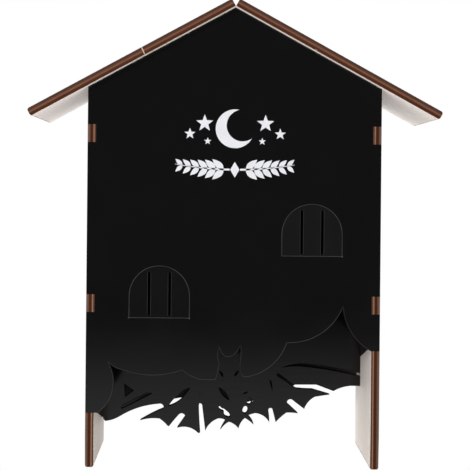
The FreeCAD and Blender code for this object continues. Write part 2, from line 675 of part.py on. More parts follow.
def main():
    """Build the document and write one STEP file for each piece."""
    doc = FreeCAD.newDocument("bat_box")
    sheet = make_sheet(doc)
    pieces = build_pieces(doc, sheet)
    doc.recompute()
    check_pieces(doc, pieces)
    os.makedirs("parts", exist_ok=True)
    for piece in pieces:
        piece.Shape.exportStep(f"parts/{piece.Label}.step")


main()
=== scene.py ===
"""Looks of the bat box: its sheets, finishes, printed ornament, studio and camera."""
import cmath
import logging
import math
from dataclasses import dataclass, field
from enum import Enum
from typing import ClassVar, NamedTuple

import bmesh
import bpy
from mathutils import Matrix, Vector


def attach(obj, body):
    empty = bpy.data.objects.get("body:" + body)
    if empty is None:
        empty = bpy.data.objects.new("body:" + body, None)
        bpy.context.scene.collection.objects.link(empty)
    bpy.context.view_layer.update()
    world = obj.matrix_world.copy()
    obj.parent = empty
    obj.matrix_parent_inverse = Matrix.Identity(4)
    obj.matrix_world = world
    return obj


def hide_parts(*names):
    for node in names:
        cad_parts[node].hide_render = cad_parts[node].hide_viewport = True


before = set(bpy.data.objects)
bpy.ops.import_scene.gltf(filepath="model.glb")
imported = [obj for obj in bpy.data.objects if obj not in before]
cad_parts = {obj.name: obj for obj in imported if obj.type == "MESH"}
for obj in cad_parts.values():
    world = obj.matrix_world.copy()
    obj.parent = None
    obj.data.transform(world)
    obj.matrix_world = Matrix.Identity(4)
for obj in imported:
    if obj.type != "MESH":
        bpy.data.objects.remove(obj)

log = logging.getLogger("bat_box")

MM = 0.001
BODY = "root"

# Directions of the row frame
FRONT = Vector((0, -1, 0))
BACK = Vector((0, 1, 0))
UP = Vector((0, 0, 1))
LEFT = Vector((-1, 0, 0))
RIGHT = Vector((1, 0, 0))

# Vertex layer: how deep in the sheet a spot lies; on a rim it holds the painted highlight, set by how the rim
# faces
DEPTH_AND_RIM_HIGHLIGHT_LAYER = "sheet_depth"

# The Mix node's sockets for colours; those for other kinds of data come first
MIX_COLORS = slice(6, 8)
MIX_COLOR_RESULT = 2

# A mapping's place and turn when it only stretches, and how high a bump of full strength stands
UNMOVED = (0.0, 0.0, 0.0)
BUMP_HEIGHT = 0.1 * MM

Node = bpy.types.Node
Socket = bpy.types.NodeSocket
Sockets = bpy.types.bpy_prop_collection
Tree = bpy.types.NodeTree
Material = bpy.types.Material
Mesh = bmesh.types.BMesh
Face = bmesh.types.BMFace
Point = tuple[float, float]
Triple = tuple[float, float, float]
Shade = tuple[int, int, int]
Source = Socket | Triple | float
Tint = Socket | Shade


def linear(value: int) -> float:
    """Turn one channel of a display colour, from 0 to 255, into linear light."""
    share = value / 255
    return share / 12.92 if share <= 0.04045 else ((share + 0.055) / 1.055) ** 2.4


def paint(shade: Shade) -> tuple[float, ...]:
    """Turn a display colour into the opaque linear colour that a shader takes."""
    return (*map(linear, shade), 1.0)


@dataclass(frozen=True)
class Noise:
    """A noise over a piece's own coordinates: features per metre, octaves, strength of the fine ones.

    The window is the part of its range that a mask spreads over that from 0 to 1.
    """

    scale: float
    detail: float
    roughness: float = 0.5
    stretch: Triple = (1.0, 1.0, 1.0)
    window: Point = (0.3, 0.7)


class Effect(Enum):
    """Effects that more than one finish uses, each a shader node group."""

    PLY_LAYERS = "ply_layers"
    WOOD_GRAIN = "wood_grain"
    FILM_SKIN = "film_skin"
    SCUFFS = "scuffs"


class Wiring:
    """Adds shader nodes to one tree and joins them."""

    def __init__(self, tree: Tree, shelf: "EffectShelf | None" = None) -> None:
        """Work in the given tree, with the effects of the shelf."""
        self.tree = tree
        self.shelf = shelf

    def add(self, kind: str, **settings: object) -> Node:
        """Add a node and set its properties.

        Args:
            kind: the node's type name without the ShaderNode prefix.
            **settings: properties to set on the node.

        Returns:
            The new node.
        """
        node = self.tree.nodes.new(f"ShaderNode{kind}")
        for name, value in settings.items():
            setattr(node, name, value)
        return node

    def own(self, kind: str) -> Node:
        """Find the node of one type that the tree came with."""
        return next(node for node in self.tree.nodes if node.type == kind)

    def feed(self, socket: Socket, source: object) -> None:
        """Link a socket to another socket, or give it a plain value.

        Args:
            socket: the input that takes it.
            source: the other socket or the value.
        """
        if isinstance(source, Socket):
            self.tree.links.new(source, socket)
        else:
            socket.default_value = source

    def join(self, kind: str, *sources: Source, **settings: object) -> Socket:
        """Add a node and feed its inputs in their order.

        Args:
            kind: the node's type, as for add.
            *sources: what the first inputs take.
            **settings: properties, as for add.

        Returns:
            The node's first output.
        """
        node = self.add(kind, **settings)
        for socket, source in zip(node.inputs, sources):
            self.feed(socket, source)
        return node.outputs[0]

    def math(self, operation: str, first: Source, second: Source = 0.0) -> Socket:
        """Combine two numbers by one of the Math node's operations."""
        return self.join("Math", first, second, operation=operation)

    def plus(self, first: Source, second: Source) -> Socket:
        """Add two numbers."""
        return self.math("ADD", first, second)

    def times(self, first: Source, second: Source) -> Socket:
        """Multiply two numbers."""
        return self.math("MULTIPLY", first, second)

    def span(self, value: Source, low: float, high: float, start: Source = 0.0, end: float = 1.0) -> Socket:
        """Map the range from low to high smoothly to that from start to end, and clamp it."""
        return self.join("MapRange", value, low, high, start, end, interpolation_type="SMOOTHSTEP")

    def between(self, factor: Source, first: Source, second: Source) -> Socket:
        """Mix two numbers."""
        return self.plus(first, self.times(factor, self.math("SUBTRACT", second, first)))

    def blend(self, factor: Source, first: Tint, second: Tint, mode: str = "MIX") -> Socket:
        """Mix two colours.

        Args:
            factor: how much of the second colour shows.
            first: a socket or a display colour.
            second: the same.
            mode: the Mix node's blend type.

        Returns:
            The mixed colour's socket.
        """
        node = self.add("Mix", data_type="RGBA", blend_type=mode)
        self.feed(node.inputs[0], factor)
        for socket, tint in zip(node.inputs[MIX_COLORS], (first, second)):
            self.feed(socket, tint if isinstance(tint, Socket) else paint(tint))
        return node.outputs[MIX_COLOR_RESULT]

    def axis(self, name: str, coordinates: str = "Object") -> Socket:
        """Give X, Y or Z of the piece's own coordinates, in metres, or of other ones."""
        return self.join("SeparateXYZ", self.add("TexCoord").outputs[coordinates]).node.outputs[name]

    def ray(self, kind: str) -> Socket:
        """Give 1 for rays of one kind."""
        return self.add("LightPath").outputs[f"Is {kind} Ray"]

    def sight(self) -> Socket:
        """Give 1 for camera and mirror rays."""
        return self.math("MAXIMUM", self.ray("Camera"), self.ray("Glossy"))

    def noise(self, noise: Noise) -> Socket:
        """Spread a noise over the piece."""
        spot = self.join("Mapping", self.add("TexCoord").outputs["Object"], UNMOVED, UNMOVED, noise.stretch)
        return self.join("TexNoise", spot, 0.0, noise.scale, noise.detail, noise.roughness)

    def mask(self, noise: Noise) -> Socket:
        """Spread a noise over the piece, with its window as the range from 0 to 1."""
        return self.span(self.noise(noise), *noise.window)

    def place(self, effect: Effect, **values: Source) -> Sockets:
        """Put an effect into the tree.

        Args:
            effect: which group.
            **values: input values, by input name with underscores for spaces.

        Returns:
            The group's outputs.
        """
        node = self.add("Group", node_tree=self.shelf.group(effect))
        for name, value in values.items():
            self.feed(node.inputs[name.replace("_", " ")], value)
        return node.outputs

    def ramp(self, value: Source, stops: tuple[tuple[float, Shade], ...]) -> Socket:
        """Colour a number from 0 to 1.

        Args:
            value: a socket or a number.
            stops: pairs of position and display colour.

        Returns:
            The colour's socket.
        """
        node = self.add("ValToRGB")
        elements = node.color_ramp.elements
        for element, (position, shade) in zip(elements, (stops[0], stops[-1])):
            element.position, element.color = position, paint(shade)
        for position, shade in stops[1:-1]:
            elements.new(position).color = paint(shade)
        self.feed(node.inputs[0], value)
        return node.outputs[0]


# Veneers of the sheet at a cut edge, from the black outer film to the inner film
DARK_CORE = (
    (0.0, (16, 15, 15)), (0.018, (20, 18, 17)), (0.032, (116, 100, 93)), (0.1, (108, 86, 78)),
    (0.2, (99, 73, 62)), (0.3, (96, 67, 54)), (0.355, (66, 35, 18)), (0.58, (66, 35, 17)),
    (0.65, (80, 48, 29)), (0.7, (118, 84, 66)), (0.75, (160, 121, 100)), (0.79, (134, 98, 80)),
    (0.84, (88, 60, 48)), (0.985, (82, 56, 46)), (1.0, (92, 66, 55)),
)
LIGHT_CORE = (
    (0.0, (16, 15, 15)), (0.018, (20, 18, 17)), (0.032, (88, 70, 60)), (0.08, (76, 54, 44)),
    (0.12, (72, 48, 38)), (0.28, (78, 52, 39)), (0.36, (100, 66, 51)), (0.5, (119, 81, 64)),
    (0.58, (104, 66, 50)), (0.65, (73, 41, 28)), (0.86, (70, 40, 27)), (0.965, (80, 53, 41)),
    (0.98, (214, 190, 172)), (1.0, (242, 218, 202)),
)

BLACK = (0, 0, 0)
SOOT_BLACK = (19, 16, 15)
RUBBED_STAIN = (70, 66, 62)
RUBBED_STEEL = (120, 118, 114)

# Veneers: how they sway along the edge, how their fibres shade them, and the burn's patches
SWAY = Noise(45.0, 2.0)
SWAY_DEPTH = 0.03
FIBRE = Noise(900.0, 4.0, 0.65)
FIBRE_SHADES = (0.86, 1.12)
SOOT = Noise(160.0, 3.0, 0.6, window=(0.35, 0.7))
SOOT_LEAST = 0.5

# Stained grain: how the growth bands drift, how far in metres, what shows of them, and the pores
DRIFT = Noise(1.0, 2.0, 0.45, (7.0, 7.0, 16.0))
DRIFT_REACH = 48 * MM
BAND_WINDOW = (0.05, 0.5)
BAND_SHARE = 0.35
PORES = Noise(1.0, 3.0, 0.6, (28.0, 60.0, 900.0), (0.3, 0.75))

# Film: clouding, fine skin and roller ripple
CLOUD = Noise(22.0, 3.0, 0.55)
SKIN = Noise(1500.0, 2.0)
SKIN_SHARE = 0.6
RIPPLE = Noise(1.0, 2.0, 0.5, (60.0, 60.0, 240.0))

# Rub marks, and the patches that they keep to
RUB = Noise(1.0, 3.0, 0.6, (90.0, 90.0, 520.0), (0.62, 0.8))
RUB_PATCH = Noise(14.0, 2.0, window=(0.48, 0.7))

# Wear of printed and scored lines, drawn grain and bloom of the plating, and the floor's specks
LINE_WEAR = Noise(70.0, 3.0, 0.6, window=(0.42, 0.68))
DRAWN = Noise(1.0, 2.0, 0.5, (2600.0, 2600.0, 60.0))
BLOOM = Noise(260.0, 3.0, 0.6, window=(0.35, 0.7))
SPECK = Noise(60.0, 2.0)


class EffectShelf:
    """Builds each node group once and hands it out."""

    def __init__(self) -> None:
        """Start with no groups built."""
        self.groups: dict[Effect, Tree] = {}
        self.builders = {
            Effect.PLY_LAYERS: self.build_ply_layers,
            Effect.WOOD_GRAIN: self.build_wood_grain,
            Effect.FILM_SKIN: self.build_film_skin,
            Effect.SCUFFS: self.build_scuffs,
        }

    def group(self, effect: Effect) -> Tree:
        """Give an effect's node group, and build it first if need be.

        Args:
            effect: which group.

        Returns:
            The node group.
        """
        if effect not in self.groups:
            self.builders[effect]()
        return self.groups[effect]

    def start(self, effect: Effect, inputs: tuple[str, ...],
              outputs: tuple[str, ...]) -> tuple[Wiring, Sockets, Sockets]:
        """Open a node group with named sockets.

        Args:
            effect: the group's effect.
            inputs: input names.
            outputs: output names; Color is a colour, and all others are numbers.

        Returns:
            The wiring, the values that the group is given, and where its results go.
        """
        tree = self.groups[effect] = bpy.data.node_groups.new(effect.value, "ShaderNodeTree")
        for way, names in (("INPUT", inputs), ("OUTPUT", outputs)):
            for name in names:
                kind = "NodeSocketColor" if name == "Color" else "NodeSocketFloat"
                tree.interface.new_socket(name, in_out=way, socket_type=kind)
        given, result = tree.nodes.new("NodeGroupInput"), tree.nodes.new("NodeGroupOutput")
        return Wiring(tree), given.outputs, result.inputs

    def build_ply_layers(self) -> None:
        """Layer the veneers across a laser-cut edge, and darken them unevenly by the burn."""
        wire, given, result = self.start(
            Effect.PLY_LAYERS, ("Depth", "Light Core", "Reach", "Char"), ("Color", "Height"))
        char = given["Char"]
        sway = wire.times(wire.math("SUBTRACT", wire.noise(SWAY), 0.5), SWAY_DEPTH)
        depth = wire.plus(given["Depth"], sway)
        depth = wire.math("MINIMUM", depth, given["Reach"])
        veneer = wire.blend(given["Light Core"], wire.ramp(depth, DARK_CORE), wire.ramp(depth, LIGHT_CORE))
        fibre, soot = wire.noise(FIBRE), wire.noise(SOOT)
        shade = wire.span(fibre, *FIBRE.window, *FIBRE_SHADES)
        grey = wire.join("CombineColor", shade, shade, shade)
        shaded = wire.blend(1.0, veneer, grey, "MULTIPLY")
        steady = wire.math("MAXIMUM", wire.times(char, char), SOOT_LEAST)
        burnt = wire.times(wire.span(soot, *SOOT.window, steady), char)
        wire.feed(result["Color"], wire.blend(burnt, shaded, SOOT_BLACK))
        wire.feed(result["Height"], wire.times(wire.plus(fibre, soot), 0.5))

    def build_wood_grain(self) -> None:
        """Draw long grain with soft growth bands that run across the board."""
        wire, given, result = self.start(Effect.WOOD_GRAIN, ("Bands",), ("Mask",))
        height = wire.plus(wire.axis("Z"), wire.times(wire.noise(DRIFT), DRIFT_REACH))
        turn = wire.math("FRACT", wire.times(height, given["Bands"]))
        band = wire.span(wire.math("PINGPONG", turn, 0.5), *BAND_WINDOW)
        wire.feed(result["Mask"], wire.between(BAND_SHARE, wire.mask(PORES), band))

    def build_film_skin(self) -> None:
        """Cloud the sheet's film faintly and give it a fine skin."""
        wire, given, result = self.start(Effect.FILM_SKIN, ("Skin",), ("Mask", "Height"))
        wire.feed(result["Mask"], wire.mask(CLOUD))
        skin = wire.between(SKIN_SHARE, wire.noise(RIPPLE), wire.noise(SKIN))
        wire.feed(result["Height"], wire.times(skin, given["Skin"]))

    def build_scuffs(self) -> None:
        """Scatter short rub marks in patches."""
        wire, given, result = self.start(Effect.SCUFFS, ("Amount",), ("Mask",))
        mask = wire.times(wire.mask(RUB), wire.mask(RUB_PATCH))
        wire.feed(result["Mask"], wire.times(mask, given["Amount"]))


class Surface(NamedTuple):
    """What a finish feeds to its shader; the dullness swings its roughness."""

    color: Socket
    height: Socket
    dullness: Socket


@dataclass(frozen=True)
class Finish:
    """A finish of one kind of surface."""

    metallic: ClassVar[float] = 0.0
    swing: ClassVar[Point] = (0.0, 0.0)
    name: str
    roughness: float
    specular: float
    relief: float

    def make(self, shelf: EffectShelf) -> Material:
        """Build the material.

        Args:
            shelf: where the effects come from.

        Returns:
            The material.
        """
        material = bpy.data.materials.new(self.name)
        material.use_nodes = True
        wire = Wiring(material.node_tree, shelf)
        shader = wire.own("BSDF_PRINCIPLED")
        shader.inputs["Specular IOR Level"].default_value = self.specular
        shader.inputs["Metallic"].default_value = self.metallic
        surface = self.surface(wire)
        wire.feed(shader.inputs["Base Color"], surface.color)
        wire.feed(shader.inputs["Roughness"], wire.between(
            surface.dullness, *(self.roughness + shift for shift in self.swing)))
        bump = wire.add("Bump")
        bump.inputs["Strength"].default_value = self.relief
        bump.inputs["Distance"].default_value = BUMP_HEIGHT
        wire.feed(bump.inputs["Height"], surface.height)
        wire.feed(shader.inputs["Normal"], bump.outputs[0])
        return material

    def surface(self, wire: Wiring) -> Surface:
        """Give the sockets that make the surface."""
        raise NotImplementedError


@dataclass(frozen=True)
class FilmFinish(Finish):
    """Smooth film on the face of the sheet; its mirror image may be dimmer than itself."""

    swing: ClassVar[Point] = (-0.03, 0.03)
    color: Shade
    clouded: Shade
    rubbed: Shade
    scuffs: float
    mirrored: float = 1.0

    def surface(self, wire: Wiring) -> Surface:
        """Cloud and rub the film.

        Args:
            wire: the material's wiring.

        Returns:
            The surface's sockets.
        """
        skin = wire.place(Effect.FILM_SKIN, Skin=1.0)
        scuffs = wire.place(Effect.SCUFFS, Amount=self.scuffs)
        color = wire.blend(skin["Mask"], self.color, self.clouded)
        color = wire.blend(scuffs["Mask"], color, self.rubbed)
        if self.mirrored < 1.0:
            color = wire.blend(wire.times(wire.ray("Glossy"), 1.0 - self.mirrored), color, BLACK)
        return Surface(color, skin["Height"], skin["Mask"])


@dataclass(frozen=True)
class PlyEdgeFinish(Finish):
    """Cut edge of the sheet, with its veneers."""

    swing: ClassVar[Point] = (-0.08, 0.08)
    light_core: float
    char: float
    reach: float = 1.0

    def surface(self, wire: Wiring) -> Surface:
        """Show the veneers by their depth in the sheet.

        Args:
            wire: the material's wiring.

        Returns:
            The surface's sockets.
        """
        depth = wire.add("Attribute", attribute_name=DEPTH_AND_RIM_HIGHLIGHT_LAYER).outputs["Fac"]
        layers = wire.place(Effect.PLY_LAYERS, Depth=depth, Light_Core=self.light_core,
                            Reach=self.reach, Char=self.char)
        return Surface(layers["Color"], layers["Height"], wire.span(layers["Height"], *FIBRE.window))


@dataclass(frozen=True)
class StainedWoodFinish(Finish):
    """Black stain through which the grain shows."""

    swing: ClassVar[Point] = (0.02, -0.02)
    dark: Shade
    light: Shade
    bands: float
    scuffs: float

    def surface(self, wire: Wiring) -> Surface:
        """Lighten the stain along the grain and the rub marks.

        Args:
            wire: the material's wiring.

        Returns:
            The surface's sockets.
        """
        grain = wire.place(Effect.WOOD_GRAIN, Bands=self.bands)["Mask"]
        scuffs = wire.place(Effect.SCUFFS, Amount=self.scuffs)
        color = wire.blend(grain, self.dark, self.light)
        color = wire.blend(scuffs["Mask"], color, RUBBED_STAIN)
        return Surface(color, grain, wire.span(grain, 0.0, 1.0))


@dataclass(frozen=True)
class FaceMarkFinish(Finish):
    """Thin line or print on a face; a rim gets a painted highlight where it faces down or to the right, and
    painted shade where it faces away.
    """

    swing: ClassVar[Point] = (0.0, 0.05)
    color: Shade
    worn: Shade
    breaks: float
    unlit_rim: Shade | None = None
    skin: float = 0.6

    def surface(self, wire: Wiring) -> Surface:
        """Wear the mark unevenly.

        Args:
            wire: the material's wiring.

        Returns:
            The surface's sockets.
        """
        skin = wire.place(Effect.FILM_SKIN, Skin=self.skin)
        uneven = wire.noise(LINE_WEAR)
        gap = wire.times(wire.span(uneven, *LINE_WEAR.window), self.breaks)
        color = wire.blend(gap, self.color, self.worn)
        # Painted highlight and shade: a rim keeps its colour where it faces the light and turns to the
        # painted-shade colour where it faces away
        if self.unlit_rim:
            gleam = wire.add("Attribute", attribute_name=DEPTH_AND_RIM_HIGHLIGHT_LAYER).outputs["Fac"]
            color = wire.blend(gleam, self.unlit_rim, color)
        return Surface(color, skin["Height"], uneven)


@dataclass(frozen=True)
class ZincSteelFinish(Finish):
    """Zinc-plated steel with a drawn grain and dull patches."""

    metallic: ClassVar[float] = 1.0
    swing: ClassVar[Point] = (-0.06, 0.1)
    bright: Shade
    dull: Shade
    skin: float = 0.4
    scuffs: float = 0.6

    def surface(self, wire: Wiring) -> Surface:
        """Dull and scuff the plating.

        Args:
            wire: the material's wiring.

        Returns:
            The surface's sockets.
        """
        skin = wire.place(Effect.FILM_SKIN, Skin=self.skin)
        scuffs = wire.place(Effect.SCUFFS, Amount=self.scuffs)
        drawn = wire.noise(DRAWN)
        color = wire.blend(wire.mask(BLOOM), self.bright, self.dull)
        color = wire.blend(scuffs["Mask"], color, RUBBED_STEEL)
        height = wire.plus(drawn, skin["Height"])
        return Surface(color, height, wire.span(drawn, *DRAWN.window))


# Each finish: name, roughness, specular level and relief, then what its kind adds
FINISHES: tuple[Finish, ...] = (
    FilmFinish("black_film", 0.14, 0.4, 0.04, (8, 8, 8), (9, 9, 9), (32, 31, 30), 0.35),
    FilmFinish("left_pane_film", 0.14, 0.4, 0.04, (11, 11, 11), (13, 13, 13), (32, 31, 30), 0.1),
    FilmFinish("right_pane_film", 0.14, 0.4, 0.04, (16, 16, 16), (19, 19, 19), (36, 35, 34), 0.1),
    # One pale inner film in two copies: lighter on the roof undersides as painted light, darker on the legs'
    # inner faces as painted shade
    FilmFinish("pale_film", 0.55, 0.35, 0.0, (248, 238, 231), (245, 234, 227), (212, 197, 186), 0.3, 0.85),
    FilmFinish("leg_film", 0.55, 0.35, 0.0, (223, 213, 206), (219, 208, 200), (196, 181, 171), 0.3, 0.85),
    PlyEdgeFinish("ply_edge", 0.8, 0.05, 0.5, light_core=0.0, char=0.12),
    PlyEdgeFinish("roof_ply_edge", 0.8, 0.05, 0.5, light_core=1.0, char=0.1),
    PlyEdgeFinish("charred_edge", 0.85, 0.05, 0.5, light_core=0.0, char=0.98, reach=0.94),
    StainedWoodFinish("stained_wood", 0.12, 0.34, 0.06, (5, 5, 5), (15, 15, 14), 150.0, 0.1),
    StainedWoodFinish("dark_stain", 0.14, 0.4, 0.06, (8, 8, 8), (11, 10, 10), 120.0, 0.1),
    StainedWoodFinish("inner_stain", 0.14, 0.4, 0.06, (48, 47, 46), (58, 56, 54), 120.0, 0.1),
    # side_stain: the side boards' inner face above a slanted line, darker than the leg
    StainedWoodFinish("side_stain", 0.14, 0.4, 0.06, (44, 40, 36), (54, 49, 44), 120.0, 0.1),
    FaceMarkFinish("score_line", 0.7, 0.1, 0.2, (80, 79, 78), (60, 59, 58), 0.6),
    # The rims: a pale burnt edge of the film whose brightness is partly painted highlight; faint_rim is the
    # dimmer copy, and rim_line turns to painted shade where it faces away
    FaceMarkFinish("faint_rim", 0.65, 0.1, 0.2, (52, 51, 50), (42, 41, 40), 0.6),
    FaceMarkFinish("white_ink", 0.5, 0.35, 0.2, (217, 218, 222), (204, 205, 210), 0.35),
    FaceMarkFinish("hairline", 0.6, 0.3, 0.2, (204, 180, 164), (172, 146, 128), 0.4),
    FaceMarkFinish("rim_line", 0.65, 0.1, 0.2, (67, 66, 65), (53, 52, 51), 0.8, (24, 24, 24)),
    ZincSteelFinish("zinc_steel", 0.34, 0.5, 0.2, (196, 198, 200), (168, 170, 170)),
    ZincSteelFinish("screw_steel", 0.24, 0.5, 0.15, (132, 130, 126), (104, 102, 98)),
)


def add_object(name: str, data: bpy.types.ID) -> bpy.types.Object:
    """Put a new object into the scene.

    Args:
        name: its name.
        data: its mesh, lamp or camera.

    Returns:
        The object.
    """
    made = bpy.data.objects.new(name, data)
    bpy.context.scene.collection.objects.link(made)
    return made


@dataclass
class CadPiece:
    """A piece re-made from its CAD node with fine rounded edges."""

    node: str
    finishes: dict[str, Material]
    slot: str = "faced_plywood"
    rounding: float = 0.12 * MM
    crease: float = math.radians(32)
    weld: float = 0.002 * MM
    flat: float = math.radians(0.4)
    broad: float = 60 * MM * MM
    mesh: Mesh = field(default_factory=bmesh.new, init=False)
    worn: dict[str, int] = field(default_factory=dict, init=False)

    def shape(self) -> None:
        """Weld the CAD mesh, clear its flat faces and round its edges."""
        mesh = self.mesh
        mesh.from_mesh(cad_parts[self.node].data)
        bmesh.ops.remove_doubles(mesh, verts=mesh.verts, dist=self.weld)
        bmesh.ops.dissolve_limit(mesh, angle_limit=self.flat, verts=mesh.verts, edges=mesh.edges)
        self.ease()
        corners = [edge for edge in mesh.edges
                   if len(edge.link_faces) == 2 and edge.calc_face_angle(0) > self.crease]
        bmesh.ops.bevel(mesh, geom=corners, offset=self.rounding, segments=2, profile=0.6, affect="EDGES")
        for face in mesh.faces:
            face.smooth = face.calc_area() < self.broad

    def ease(self) -> None:
        """Leave the corners as they are here; a sheet that takes knocks wears them down, before the edges are
        rounded.
        """

    def paint_faces(self) -> None:
        """Give each face its finish."""
        for face in self.mesh.faces:
            self.dress(face, "screw_steel" if "screw" in self.node else "zinc_steel")

    def dress(self, face: Face, finish: str) -> None:
        """Give a face a finish."""
        face.material_index = self.worn.setdefault(finish, len(self.worn))

    def wears(self, face: Face, *finishes: str) -> bool:
        """Tell whether a face has one of the finishes."""
        return face.material_index in (self.worn.get(finish) for finish in finishes)

    def add_face(self, outline: list[complex], level: float) -> Face:
        """Add a flat face that looks to the front.

        Args:
            outline: its corners, across and up as real and imaginary parts.
            level: where it lies along Y.

        Returns:
            The new face.
        """
        face = self.mesh.faces.new([self.mesh.verts.new((spot.real, level, spot.imag)) for spot in outline])
        face.normal_update()
        if face.normal.y > 0:
            face.normal_flip()
        return face

    def build(self) -> None:
        """Make the object, dress it, attach it to the body, hide its CAD node and report it."""
        self.shape()
        self.paint_faces()
        bmesh.ops.triangulate(self.mesh, faces=self.mesh.faces)
        data = bpy.data.meshes.new(f"{self.node}_sheet")
        self.mesh.to_mesh(data)
        self.mesh.free()
        rounded = [polygon.use_smooth for polygon in data.polygons]
        data.set_sharp_from_angle(angle=self.crease)
        data.polygons.foreach_set("use_smooth", rounded)
        for finish in self.worn:
            data.materials.append(self.finishes[finish])
        piece = add_object(f"{self.node}_finished", data)
        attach(piece, BODY)
        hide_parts(self.node)
        log.info("%s: %d faces", piece.name, len(data.polygons))


@dataclass
class PlySheet(CadPiece):
    """A panel cut from plywood sheet, with two faces and a layered cut edge."""

    toward: Vector = field(default_factory=lambda: FRONT.copy())
    outer: str = "black_film"
    # The inner face by default, used by the roof boards: the pale film painted lighter, as painted light on
    # the undersides
    inner: str = "pale_film"
    edge: str = "ply_edge"
    facing: float = 0.999
    inclined: float = 0.5
    shallow: float = 0.02

    def sheet_axis(self) -> tuple[Vector, float, float]:
        """Find which way the sheet's outer face points, and where both faces lie.

        Returns:
            The outward direction and the reach of the outer and inner faces along it.
        """
        broad = max((face for face in self.mesh.faces if face.normal.dot(self.toward) > self.inclined),
                    key=Face.calc_area)
        outward = broad.normal.copy()
        reach = [vertex.co.dot(outward) for vertex in self.mesh.verts]
        return outward, max(reach), min(reach)

    def depth_of(self, face: Face) -> float:
        """Give a face's depth as a share of the sheet's thickness."""
        layer = self.mesh.verts.layers.float[DEPTH_AND_RIM_HIGHLIGHT_LAYER]
        return sum(vertex[layer] for vertex in face.verts) / len(face.verts)

    def paint_faces(self) -> None:
        """Give the outer face, the inner face and the cut edges their finishes."""
        outward, top, bottom = self.sheet_axis()
        layer = self.mesh.verts.layers.float.new(DEPTH_AND_RIM_HIGHLIGHT_LAYER)
        for vertex in self.mesh.verts:
            vertex[layer] = (top - vertex.co.dot(outward)) / (top - bottom)
        for face in self.mesh.faces:
            self.dress(face, self.edge)
            turned = face.normal.dot(outward)
            if abs(turned) > self.facing:
                face.smooth = False
                if not self.shallow <= self.depth_of(face) <= 1 - self.shallow:
                    self.dress(face, self.outer if turned > 0 else self.inner)


def arc(middle: complex, radius: float, start: float, sweep: float, steps: int = 40) -> list[complex]:
    """Follow an arc from its start angle over a sweep, negative for clockwise, with both ends."""
    return [middle + cmath.rect(radius, start + sweep * index / steps) for index in range(steps + 1)]


@dataclass
class Ornament:
    """White print on the front: a crescent moon with stars over a leafy spray."""

    middle: complex = (0.4 + 324j) * MM

    # The bite that makes the crescent: its radius and its shift as shares of the moon's
    moon_radius: float = 18.5 * MM
    moon_bite: float = 0.82
    moon_shift: float = 0.42
    moon_tilt: float = math.radians(24)

    # Stars on the right: place and size
    stars: tuple[tuple[complex, float], ...] = (
        ((29 + 5j) * MM, 1.0), ((43 - 5j) * MM, 0.66), ((26 - 12j) * MM, 0.42))
    star_radius: float = 8.5 * MM
    star_waist: float = 0.42
    star_tips: int = 5

    spray_drop: float = 39 * MM
    spray_reach: float = 57 * MM
    spray_lift: float = 5 * MM
    stem_start: float = 5 * MM
    stem_half: float = 0.8 * MM
    stem_swell: float = 1.2
    stem_steps: int = 16
    lozenge: Point = (4.4 * MM, 7.5 * MM)
    leaf_pairs: int = 6
    leaf_first: float = 0.6
    leaf_start: float = 6 * MM
    leaf_margin: float = 10 * MM
    leaf_length: float = 15 * MM
    leaf_shrink: float = 0.42
    leaf_width: float = 0.22
    leaf_belly: float = 0.8
    leaf_lean: float = math.radians(42)
    leaf_steps: int = 10

    def outlines(self) -> list[list[complex]]:
        """Draw every printed shape; what stands on the right is mirrored on the left.

        Returns:
            Closed outlines on the front.
        """
        right = [self.star(place, size) for place, size in self.stars] + [self.stem()]
        for pair in range(self.leaf_pairs):
            share = (pair + self.leaf_first) / self.leaf_pairs
            root = self.stem_spot(self.leaf_start + (self.spray_reach - self.leaf_margin) * share)
            length = self.leaf_length * (1.0 - self.leaf_shrink * share)
            right += [self.leaf(root, cmath.rect(length, lean)) for lean in (-self.leaf_lean, self.leaf_lean)]
        left = [[-spot.conjugate() for spot in shape] for shape in right]
        half, rise = self.lozenge
        lozenge = [self.stem_spot(0) + corner for corner in (half, 1j * rise, -half, -1j * rise)]
        return [[self.middle + spot for spot in shape] for shape in (self.crescent(), lozenge, *right, *left)]

    def crescent(self) -> list[complex]:
        """Outline the moon between two arcs that meet at its horns.

        Returns:
            The closed outline.
        """
        radius, tilt = self.moon_radius, self.moon_tilt
        bite, shift = radius * self.moon_bite, radius * self.moon_shift
        horn = math.acos((shift ** 2 + radius ** 2 - bite ** 2) / (2 * shift * radius))
        bite_horn = math.pi - math.acos((shift ** 2 + bite ** 2 - radius ** 2) / (2 * shift * bite))
        back = arc(0, radius, tilt + horn, 2 * (math.pi - horn))
        return back + arc(cmath.rect(shift, tilt), bite, tilt - bite_horn, 2 * (bite_horn - math.pi))[1:-1]

    def star(self, place: complex, size: float) -> list[complex]:
        """Outline a star, from its upper tip."""
        reaches = (self.star_radius * size, self.star_radius * size * self.star_waist)
        return [place + cmath.rect(reaches[index % 2], math.pi / 2 + index * math.pi / self.star_tips)
                for index in range(2 * self.star_tips)]

    def stem_spot(self, across: float) -> complex:
        """Give the spot where the spray's stem passes."""
        return complex(across, self.spray_lift * (across / self.spray_reach) ** 2 - self.spray_drop)

    def stem(self) -> list[complex]:
        """Outline the stem, which thins outwards.

        Returns:
            The closed outline.
        """
        upper, lower = [], []
        for index in range(self.stem_steps + 1):
            share = index / self.stem_steps
            spot = self.stem_spot(self.stem_start + (self.spray_reach - self.stem_start) * share)
            half = 1j * self.stem_half * (self.stem_swell - share)
            upper.append(spot + half)
            lower.append(spot - half)
        return upper + lower[::-1]

    def leaf(self, root: complex, length: complex) -> list[complex]:
        """Outline a pointed leaf.

        Args:
            root: where it leaves the stem.
            length: its length and direction.

        Returns:
            The closed outline.
        """
        shares = [index / self.leaf_steps for index in range(self.leaf_steps + 1)]
        half = [complex(share, self.leaf_width * math.sin(math.pi * share ** self.leaf_belly))
                for share in shares]
        return [root + length * spot for spot in half + [spot.conjugate() for spot in half[-2:0:-1]]]


